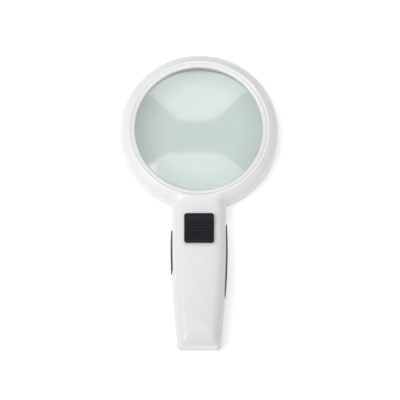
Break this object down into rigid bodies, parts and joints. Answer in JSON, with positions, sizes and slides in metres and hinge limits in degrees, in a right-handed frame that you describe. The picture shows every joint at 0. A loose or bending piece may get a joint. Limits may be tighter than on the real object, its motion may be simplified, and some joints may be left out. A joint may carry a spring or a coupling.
{
  "type": "low vision magnifier",
  "caption": "Hand-held illuminated magnifier: round convex lens in a white rim, ribbed thumb switch and battery handle with a slide-off rear cover.",
  "frame": {"origin": "bottom centre of the whole object's box, on the flat back that it lies on", "axes": "+Z out of the front face along the lens axis, +Y from the handle's end to the lens, +X to the right seen from the front"},
  "size_m": [0.119, 0.226, 0.0253],
  "materials": {
    "white_shell": "glossy moulded",
    "white_bezel": "glossy moulded",
    "lens_glass": "polished, faintly green",
    "gasket_rubber": "matte",
    "circuit_board": "solder mask",
    "led_resin": "clear resin over yellow phosphor",
    "black_resin": "moulded resin",
    "ferrite": "sintered",
    "knob_plastic": "moulded",
    "black_button": "satin moulded",
    "grip_rubber": "satin",
    "wire_red": "insulation",
    "wire_black": "insulation",
    "cell_jacket": "printed sleeve, plain",
    "contact_steel": "nickel plated",
    "screw_steel": "zinc plated"
  },
  "bodies": {
    "housing": {"front_shell": "white_shell", "back_shell": "white_shell", "bezel_ring": "white_bezel", "lens": "lens_glass", "lens_gasket": "gasket_rubber", "led_board": "circuit_board", "leds": "led_resin", "driver_board": "circuit_board", "driver_chip": "black_resin", "inductor": "ferrite", "resistors": "black_resin", "switch_body": "contact_steel", "led_lead_red": "wire_red", "led_lead_black": "wire_black", "battery_lead_red": "wire_red", "battery_lead_black": "wire_black", "cell_left": "cell_jacket", "cell_right": "cell_jacket", "contact_plus": "contact_steel", "contact_minus": "contact_steel", "contact_bridge": "contact_steel", "contact_springs": "contact_steel", "shell_screws": "screw_steel", "grip_left": "grip_rubber", "grip_right": "grip_rubber"},
    "switch": {"switch_button": "black_button", "switch_actuator": "knob_plastic"},
    "rear_cover": {"battery_cover": "white_shell"}
  },
  "joints": [
    {"name": "switch_slide", "type": "slide", "parent": "housing", "child": "switch", "axis": [0, 1, 0], "range_m": [0, 0.004]},
    {"name": "cover_slide", "type": "slide", "parent": "housing", "child": "rear_cover", "axis": [0, -1, 0], "range_m": [0, 0.07]}
  ]
}
